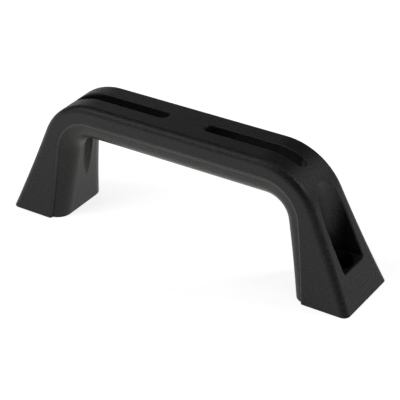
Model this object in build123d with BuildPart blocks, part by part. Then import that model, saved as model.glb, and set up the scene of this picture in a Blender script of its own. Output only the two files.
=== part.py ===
"""Bridge pull handle: one moulded piece, screwed down from the front through its two feet.

Millimetres and degrees. X runs along the grip, Y across it and Z up from the mounting surface.
The origin lies midway between the feet, on that surface.
"""
import os
from math import radians, tan

from build123d import *

# Fixing screws
screw_spacing = 120.0  # between the two screw axes
screw_hole_d = 6.6  # clearance for an M6 screw
head_seat_d = 12.3  # round seat for the screw head and its washer
head_seat_z = 5.5  # height of that seat above the mounting surface
head_seat_depth = 6.25  # how far the seat is sunk below the pocket floor

# Outer face, in side view
end_beyond_screw = 12.4  # from a screw axis to the outer edge of its foot
handle_height = 49.4
outer_lean = 23.9  # the outer faces of the legs lean inwards by this much
outer_bend_r = 23.7

# Hand gap, in side view
gap_from_screw = 10.2  # from a screw axis to the gap, at the mounting surface
grip_thickness = 14.5  # from the top face down to the gap
gap_lean = 9.8
gap_bend_r = 8.3

# Mould parting line, where the flat sides end and the rounded inner half begins
parting_from_screw = 5.9  # from a screw axis, at the mounting surface
parting_below_top = 7.0
parting_lean = 6.5
parting_bend_r = 14.2

# Depth from front to back
top_depth = 20.8  # at the top of the grip
foot_depth = 28.9  # at the mounting surface
slope_height = 8.0  # the sides of the inner half slope inwards over this height
slope_width = 2.0  # by this much
top_ledge = 0.25  # the inner half is narrower by this much on each side, at the top
foot_ledge = 0.25  # and by this much at the mounting surface

# Rounded edges
outer_edge_r = 2.5  # outer half, front and back
parting_edge_r = 0.9  # lower edge of the flat sides
inner_edge_r = 5.0  # inner half, front and back
mouth_edge_r = 0.5  # mouths of the pockets and slots

# Screw pockets, open upwards and outwards
floor_round_seat = 0.5  # narrowest strip of pocket floor left round the seat
pocket_floor_r = 1.0  # between the floor and the wall

# Slots through the grip, from the top face to the hand gap
slot_width = 4.6  # at the top face
slot_to_pocket = 6.15  # wall left between a slot and the pocket, at the top face
bridge_length = 16.0  # solid stretch between the two slots
slot_draft = 0.55  # the walls of the slots spread downwards

# Construction
inner_overlap = 4.5  # how far the inner half is sunk into the outer half
margin = 5.0  # tools run past the body by this much

screw_x = screw_spacing / 2
foot_end_x = screw_x + end_beyond_screw
pocket_width = head_seat_d + 2 * floor_round_seat
pocket_floor_z = head_seat_z + head_seat_depth


def arch(half_bottom, height, lean, bend_r):
    """Return an arch line: up one leaning side, round a bend, across, and down again."""
    half_top = half_bottom - height * tan(radians(lean))
    corners = [(-half_bottom, 0), (-half_top, height), (half_top, height), (half_bottom, 0)]
    return FilletPolyline(*corners, radius=bend_r)


def arch_face(line, mode=Mode.ADD):
    """Add or cut the area under an arch line in the sketch being drawn."""
    with BuildLine() as outline:
        add(line)
        Line(line @ 1, line @ 0)
    make_face(outline.edges(), mode=mode)


def flared_face(ledge_at_foot=0.0, ledge_at_top=0.0):
    """Draw an end view whose sides stand upright at the top and spread to the foot on an arc."""
    foot = (foot_depth / 2 - ledge_at_foot, 0)
    shoulder = (top_depth / 2 - ledge_at_top, handle_height)
    top = handle_height + margin
    with BuildLine() as outline:
        TangentArc(shoulder, foot, tangent=(0, -1))
        Polyline(shoulder, (shoulder[0], top), (0, top), (0, 0), foot)
    make_face(outline.edges())
    mirror(about=Plane.YZ)


def follows(line):
    """Return a test for edges that run along an arch line in side view."""

    def test(edge):
        points = [edge @ t for t in (0.2, 0.5, 0.8)]
        return all(line.distance_to(Vector(p.X, p.Z, 0)) < 0.01 for p in points)

    return test


outer_line = arch(foot_end_x, handle_height, outer_lean, outer_bend_r)
gap_line = arch(screw_x - gap_from_screw, handle_height - grip_thickness, gap_lean, gap_bend_r)
parting_x = screw_x - parting_from_screw
parting_z = handle_height - parting_below_top
parting_line = arch(parting_x, parting_z, parting_lean, parting_bend_r)
overlap_line = arch(
    parting_x + inner_overlap,
    parting_z + inner_overlap,
    parting_lean,
    parting_bend_r + inner_overlap,
)

# Inner half: a bar round the hand gap, well rounded for the fingers
with BuildPart() as inner_half:
    with BuildSketch(Plane.XZ):
        arch_face(overlap_line)
        arch_face(gap_line, Mode.SUBTRACT)
    extrude(amount=foot_depth, both=True)
    with BuildSketch(Plane.YZ):
        flared_face(foot_ledge, top_ledge)
    extrude(amount=foot_end_x, both=True, mode=Mode.INTERSECT)
    for end in (0, -1):
        side = inner_half.faces().sort_by(Axis.Y)[end]
        side_edges = side.edges().filter_by(follows(gap_line))
        chamfer(side_edges, slope_height, slope_width, reference=side)
    fillet(inner_half.edges().filter_by(follows(gap_line)).filter_by(Axis.Y, reverse=True), inner_edge_r)

# Space of one screw pocket: round behind the screw, straight out to the end face
with BuildPart() as pocket:
    with BuildSketch(Plane.XY.offset(pocket_floor_z)):
        with Locations((screw_x, 0)):
            Circle(pocket_width / 2)
            Rectangle(end_beyond_screw + margin, pocket_width, align=(Align.MIN, Align.CENTER))
    extrude(amount=handle_height)
    fillet(pocket.edges().group_by(Axis.Z)[0], pocket_floor_r)

# Outer half and the whole handle
with BuildPart() as handle:
    with BuildSketch(Plane.XZ):
        arch_face(outer_line)
        arch_face(parting_line, Mode.SUBTRACT)
    extrude(amount=foot_depth, both=True)
    with BuildSketch(Plane.YZ):
        flared_face()
    extrude(amount=foot_end_x + margin, both=True, mode=Mode.INTERSECT)
    fillet(handle.edges().filter_by(follows(outer_line)).filter_by(Axis.Y, reverse=True), outer_edge_r)
    fillet(handle.edges().filter_by(follows(parting_line)).filter_by(Axis.Y, reverse=True), parting_edge_r)
    add(inner_half.part)

    # Slots, wider at the hand gap than at the top face
    slot_spread = handle_height * tan(radians(slot_draft))
    slot_start = bridge_length / 2
    slot_end = screw_x - pocket_width / 2 - slot_to_pocket
    with BuildSketch(Plane.XY):
        with Locations(((slot_start + slot_end) / 2, 0)):
            SlotOverall(slot_end - slot_start + 2 * slot_spread, slot_width + 2 * slot_spread)
        mirror(about=Plane.YZ)
    extrude(amount=handle_height + margin, taper=slot_draft, mode=Mode.SUBTRACT)
    slot_mouths = handle.edges(Select.LAST).filter_by(follows(outer_line))
    fillet(slot_mouths.filter_by(Axis.Y, reverse=True), mouth_edge_r)

    # Screw pockets, with rounded mouths
    add([pocket.part, pocket.part.mirror(Plane.YZ)], mode=Mode.SUBTRACT)
    pocket_mouths = handle.edges(Select.LAST).filter_by(follows(outer_line))
    mouth_bottoms = pocket_mouths.group_by(Axis.Z)[0]
    fillet(pocket_mouths.filter_by(Axis.Y, reverse=True) + mouth_bottoms, mouth_edge_r)

    # Screw holes with a sunk seat for the head
    with Locations((-screw_x, 0, pocket_floor_z), (screw_x, 0, pocket_floor_z)):
        CounterBoreHole(
            radius=screw_hole_d / 2,
            counter_bore_radius=head_seat_d / 2,
            counter_bore_depth=head_seat_depth,
        )

handle.part.label = "handle"
os.makedirs("parts", exist_ok=True)
export_step(handle.part, "parts/handle.step")
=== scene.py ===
from math import cos, radians, sin, tan

import bpy
from mathutils import Matrix, Vector


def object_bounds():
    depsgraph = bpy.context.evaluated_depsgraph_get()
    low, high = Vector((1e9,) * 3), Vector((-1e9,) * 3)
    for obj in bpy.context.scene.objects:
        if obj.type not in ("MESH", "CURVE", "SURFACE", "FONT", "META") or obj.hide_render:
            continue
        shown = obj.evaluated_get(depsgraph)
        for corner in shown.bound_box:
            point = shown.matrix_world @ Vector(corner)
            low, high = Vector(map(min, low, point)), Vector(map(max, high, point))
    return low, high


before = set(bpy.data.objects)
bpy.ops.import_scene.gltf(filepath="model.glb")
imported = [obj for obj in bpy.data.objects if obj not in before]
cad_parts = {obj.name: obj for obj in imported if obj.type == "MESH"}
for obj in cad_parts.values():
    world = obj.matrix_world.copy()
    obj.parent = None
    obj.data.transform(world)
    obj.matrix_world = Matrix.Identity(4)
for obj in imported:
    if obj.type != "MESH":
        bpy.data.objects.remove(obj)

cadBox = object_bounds()
lowCorner, highCorner = cadBox
middle = (lowCorner + highCorner) / 2
handleLength = highCorner.x - lowCorner.x
print("frame loaded, handle length", round(handleLength * 1000, 1), "mm")


class Value:
    # one output socket, so that shader maths reads as plain sums

    def __init__(self, shader, socket):
        self.shader = shader
        self.socket = socket

    def maths(self, operation, *given):
        return self.shader.node("ShaderNodeMath", {"operation": operation}, dict(enumerate(given)))

    def __add__(self, other):
        return self.maths("ADD", self, other)

    __radd__ = __add__

    def __sub__(self, other):
        return self.maths("SUBTRACT", self, other)

    def __rsub__(self, other):
        return self.maths("SUBTRACT", other, self)

    def __mul__(self, other):
        return self.maths("MULTIPLY", self, other)

    __rmul__ = __mul__

    def __truediv__(self, other):
        return self.maths("DIVIDE", self, other)

    def __pow__(self, other):
        return self.maths("POWER", self, other)

    def __gt__(self, other):
        return self.maths("GREATER_THAN", self, other)

    def __neg__(self):
        return self.maths("SUBTRACT", 0, self)

    def __abs__(self):
        return self.maths("ABSOLUTE", self)

    def orMore(self, other):
        return self.maths("MAXIMUM", self, other)

    def rising(self, over, start=0):
        # 0 up to start, 1 from start + over on, and even between them
        return self.shader.node("ShaderNodeClamp", {}, {"Value": (self - start) / over})


class Shader:
    # an empty node tree, filled one node at a time

    def __init__(self, tree):
        self.tree = tree
        self.tree.nodes.clear()

    def node(self, kind, settings=None, inputs=None, output=0):
        made = self.tree.nodes.new(kind)
        for name, setting in (settings or {}).items():
            setattr(made, name, setting)
        for name, given in (inputs or {}).items():
            if isinstance(given, Value):
                self.tree.links.new(given.socket, made.inputs[name])
            else:
                made.inputs[name].default_value = given
        return Value(self, made.outputs[output]) if made.outputs else None

    def outputs(self, value, *names):
        return [Value(self, value.socket.node.outputs[name]) for name in names]

    def mixed(self, factor, first, second, blend="MIX"):
        # a Mix node has its colours on inputs 6 and 7 and on output 2
        return self.node(
            "ShaderNodeMix",
            {"data_type": "RGBA", "blend_type": blend},
            {"Factor": factor, 6: first, 7: second},
            output=2,
        )

    def noise(self, place, size, roughness, detail):
        # as much above nothing as below it
        made = self.node(
            "ShaderNodeTexNoise",
            {"noise_dimensions": "3D"},
            {"Vector": place, "Scale": 1 / size, "Detail": detail, "Roughness": roughness},
        )
        return made - 0.5


def newMaterial(name):
    material = bpy.data.materials.new(name)
    material.use_nodes = True
    return material, Shader(material.node_tree)


# The line on which the two halves of the mould met, and the pale seam along it, partly a mould seam
# and partly a painted highlight along its edge, in metres
parting = {
    "fromEnd": 0.0181,  # from the ends of the handle, at the feet
    "belowTop": 0.0075,
    "lean": 6.5,  # degrees, of its two straight ends
    "bendRadius": 0.0142,
    "softEdge": 0.0003,
    "seamAndHighlightCentre": 0.0001,  # from the line outwards to the middle of the seam and its painted highlight
    "seamAndHighlightWidth": 0.0005,  # each way from its middle
    # pale seam colour, partly a mould seam and partly a painted highlight where the edge catches
    # light
    "seamAndHighlightColour": (0.072, 0.071, 0.067, 1),
    "seamRoughness": 0.38,
    "seamAndHighlightFrom": -0.005,  # height over the feet from which the painted highlight grows
    "seamAndHighlightOver": 0.03,  # and the height that it takes to show in full
    "seamAndHighlightEnd": 0.056,  # right of the middle, where the painted highlight has faded out
    "seamAndHighlightFade": 0.012,
}

# Black plastic with a fine grain
plastic = {
    "colour": (0.002, 0.002, 0.002, 1),
    "roughness": 0.45,
    "roughnessSpread": 0.06,
    "specular": 0.33,
    "grainColour": (0.010, 0.010, 0.010, 1),  # on the tips of the grain
    "grainContrast": 4.0,
    "grainSize": 0.00075,
    "grainDepth": 0.00016,
    "grainCrispness": 0.6,
    "cloudContrast": 0.6,
    "cloudSize": 0.009,  # of faint patches
    "cloudCrispness": 0.5,
    "noiseDetail": 2.0,
    "innerTint": (1.0, 0.98, 0.92, 1),  # on the half of the moulding that faces the hand
}

# The inner half of the grip, smoother than the rest, with painted light reflected from the floor
# making it paler towards the hand
grip = {
    # pale colour that paints floor light reflected onto the underside of the grip
    "colour": (0.045, 0.0445, 0.036, 1),
    "roughness": 0.24,
    "end": 0.049,  # from the middle of the handle to where it is like the rest again
    "fade": 0.012,
    "paintedLightFrom": 0.001,  # inside the parting line, where the painted reflected light starts
    "paintedLightOver": 0.003,
}


def beyondParting(x, z):
    # metres outside the parting line, less than nothing inside it
    lean = radians(parting["lean"])
    bend = parting["bendRadius"]
    centreHeight = highCorner.z - parting["belowTop"] - bend
    centreAcross = highCorner.x - parting["fromEnd"] - centreHeight * tan(lean) - bend / cos(lean)
    across = abs(x) - centreAcross
    up = z - centreHeight
    fromStraights = up.orMore(across * cos(lean) + up * sin(lean))
    fromCentre = (across * across + up * up) ** 0.5
    inBend = (across > 0) * (up * cos(lean) - across * sin(lean) > 0)
    return fromStraights + inBend * (fromCentre - fromStraights) - bend


def makePlastic():
    material, shader = newMaterial("blackPlastic")
    place = shader.node("ShaderNodeTexCoord", output="Object")
    x, z = shader.outputs(shader.node("ShaderNodeSeparateXYZ", {}, {"Vector": place}), "X", "Z")
    detail = plastic["noiseDetail"]
    grain = shader.noise(place, plastic["grainSize"], plastic["grainCrispness"], detail)
    cloud = shader.noise(place, plastic["cloudSize"], plastic["cloudCrispness"], detail)

    outside = beyondParting(x, z)
    inner = (-outside).rising(parting["softEdge"], -parting["softEdge"] / 2)
    smooth = inner * (grip["end"] - abs(x)).rising(grip["fade"])
    # painted reflected floor light, growing inward from the parting line
    paintedFloorLight = smooth * (-outside).rising(grip["paintedLightOver"], grip["paintedLightFrom"])

    # pale line along the parting, part mould seam and part painted highlight, growing with height
    # and fading out on the right
    seamAndHighlight = (parting["seamAndHighlightWidth"] - abs(outside - parting["seamAndHighlightCentre"])).rising(parting["softEdge"])
    seamAndHighlight = seamAndHighlight * z.rising(parting["seamAndHighlightOver"], parting["seamAndHighlightFrom"])
    seamAndHighlight = seamAndHighlight * (parting["seamAndHighlightEnd"] - x).rising(parting["seamAndHighlightFade"])

    tips = plastic["grainContrast"] * grain + plastic["cloudContrast"] * cloud
    colour = shader.mixed(tips.rising(1, -0.5), plastic["colour"], plastic["grainColour"])
    # paints reflected floor light on the underside of the grip
    colour = shader.mixed(paintedFloorLight, colour, grip["colour"])
    colour = shader.mixed(inner, colour, plastic["innerTint"], blend="MULTIPLY")
    # paints the pale seam line, partly a painted highlight
    colour = shader.mixed(seamAndHighlight, colour, parting["seamAndHighlightColour"])

    roughness = plastic["roughness"] + smooth * (grip["roughness"] - plastic["roughness"])
    roughness = roughness + seamAndHighlight * (parting["seamRoughness"] - roughness)
    roughness = roughness + plastic["roughnessSpread"] * cloud
    bump = shader.node("ShaderNodeBump", {}, {"Distance": plastic["grainDepth"], "Height": grain})
    surface = shader.node(
        "ShaderNodeBsdfPrincipled",
        {},
        {
            "Base Color": colour,
            "Roughness": roughness,
            "Specular IOR Level": plastic["specular"],
            "Normal": bump,
        },
    )
    shader.node("ShaderNodeOutputMaterial", {}, {"Surface": surface})
    return material


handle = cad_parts["handle"]
for slot in handle.material_slots:
    slot.material = makePlastic()
print("handle dressed in", handle.material_slots[0].material.name)


# Floor, white to the eye but with the handle's own shadow on it
floor = {
    "radius": 3.0,
    "sides": 96,
    "below": 0.0001,  # under the feet, so that the two don't share a plane
    "colour": (0.8, 0.8, 0.8, 1),
    "shown": (0.72, 0.72, 0.72, 1),  # light that only the eye and reflections see
    "shownFar": (1, 1, 1, 1),
    "sweepFrom": 0.4,  # from here out the floor whitens, as a sweep of paper does
    "sweepOver": 1.0,
}


def makeFloor():
    bpy.ops.mesh.primitive_circle_add(
        vertices=floor["sides"],
        radius=floor["radius"],
        fill_type="NGON",
        location=(0, 0, lowCorner.z - floor["below"]),
    )
    disc = bpy.context.object
    disc.name = "floor"
    material, shader = newMaterial("paleFloor")
    rays = shader.node("ShaderNodeLightPath")
    camera, glossy, transmission = shader.outputs(
        rays, "Is Camera Ray", "Is Glossy Ray", "Is Transmission Ray"
    )
    place = shader.node("ShaderNodeTexCoord", output="Object")
    away = shader.node("ShaderNodeVectorMath", {"operation": "LENGTH"}, {0: place}, output="Value")
    sweep = away.rising(floor["sweepOver"], floor["sweepFrom"])
    matt = shader.node("ShaderNodeBsdfDiffuse", {}, {"Color": floor["colour"]})
    glow = shader.node(
        "ShaderNodeEmission",
        {},
        {
            "Color": shader.mixed(sweep, floor["shown"], floor["shownFar"]),
            "Strength": camera + glossy + transmission,
        },
    )
    both = shader.node("ShaderNodeAddShader", {}, {0: matt, 1: glow})
    shader.node("ShaderNodeOutputMaterial", {}, {"Surface": both})
    disc.data.materials.append(material)


makeFloor()

# Soft studio light: wide lamps, placed in degrees round from the front and up from the floor
room = {
    "colour": (1, 1, 1, 1),
    "seen": 1.0,  # white behind the handle
    "mirrored": 0.05,  # dim overhead, so that a black top face stays black
}
lamps = {
    "frontLeftLamp": {"around": -45, "above": 40, "distance": 1.5, "size": 1.2, "watts": 8.2},
    "topLamp": {"around": 0, "above": 90, "distance": 1.5, "size": 0.7, "watts": 1.8},
    "backRightLamp": {"around": 127, "above": 39, "distance": 1.5, "size": 0.55, "watts": 6.0},
    "backLeftLamp": {"around": 225, "above": 20, "distance": 1.5, "size": 0.9, "watts": 0.8},
}


def facing(around, above):
    # turns what looks straight down so that it looks in from there
    return Matrix.Rotation(radians(around), 4, "Z") @ Matrix.Rotation(radians(90 - above), 4, "X")


def lightRoom():
    world = bpy.data.worlds.new("room")
    bpy.context.scene.world = world
    world.use_nodes = True
    shader = Shader(world.node_tree)
    rays = shader.node("ShaderNodeLightPath")
    camera, glossy, transmission, diffuse = shader.outputs(
        rays, "Is Camera Ray", "Is Glossy Ray", "Is Transmission Ray", "Is Diffuse Ray"
    )
    strength = camera * room["seen"] + (glossy + transmission + diffuse) * room["mirrored"]
    air = shader.node("ShaderNodeBackground", {}, {"Color": room["colour"], "Strength": strength})
    shader.node("ShaderNodeOutputWorld", {}, {"Surface": air})


def hangLamp(name, lamp):
    data = bpy.data.lights.new(name, "AREA")
    data.shape = "DISK"
    data.size = lamp["size"]
    data.energy = lamp["watts"]
    holder = bpy.data.objects.new(name, data)
    bpy.context.collection.objects.link(holder)
    out = Matrix.Translation((0, 0, lamp["distance"]))
    holder.matrix_world = facing(lamp["around"], lamp["above"]) @ out


lightRoom()
for name, lamp in lamps.items():
    hangLamp(name, lamp)
print("floor and lamps set")

# Camera, in degrees round from the front and up from the floor, aimed near the middle of the handle
view = {
    "around": 34.76,
    "above": 31.25,
    "roll": -2.086,
    "distance": 0.5693,
    "aim": (0.00343, -0.00646),  # from the middle, to the camera's right and up
    "lens": 143.55,
    "nearest": 0.01,
}


def placeCamera():
    data = bpy.data.cameras.new("camera")
    data.lens = view["lens"]
    data.clip_start = view["nearest"]
    holder = bpy.data.objects.new("camera", data)
    bpy.context.collection.objects.link(holder)
    right, up = view["aim"]
    holder.matrix_world = (
        Matrix.Translation(middle)
        @ facing(view["around"], view["above"])
        @ Matrix.Translation(Vector((right, up, view["distance"])))
        @ Matrix.Rotation(radians(view["roll"]), 4, "Z")
    )
    bpy.context.scene.camera = holder


placeCamera()
bpy.context.scene.view_settings.view_transform = "Standard"
print("camera placed")
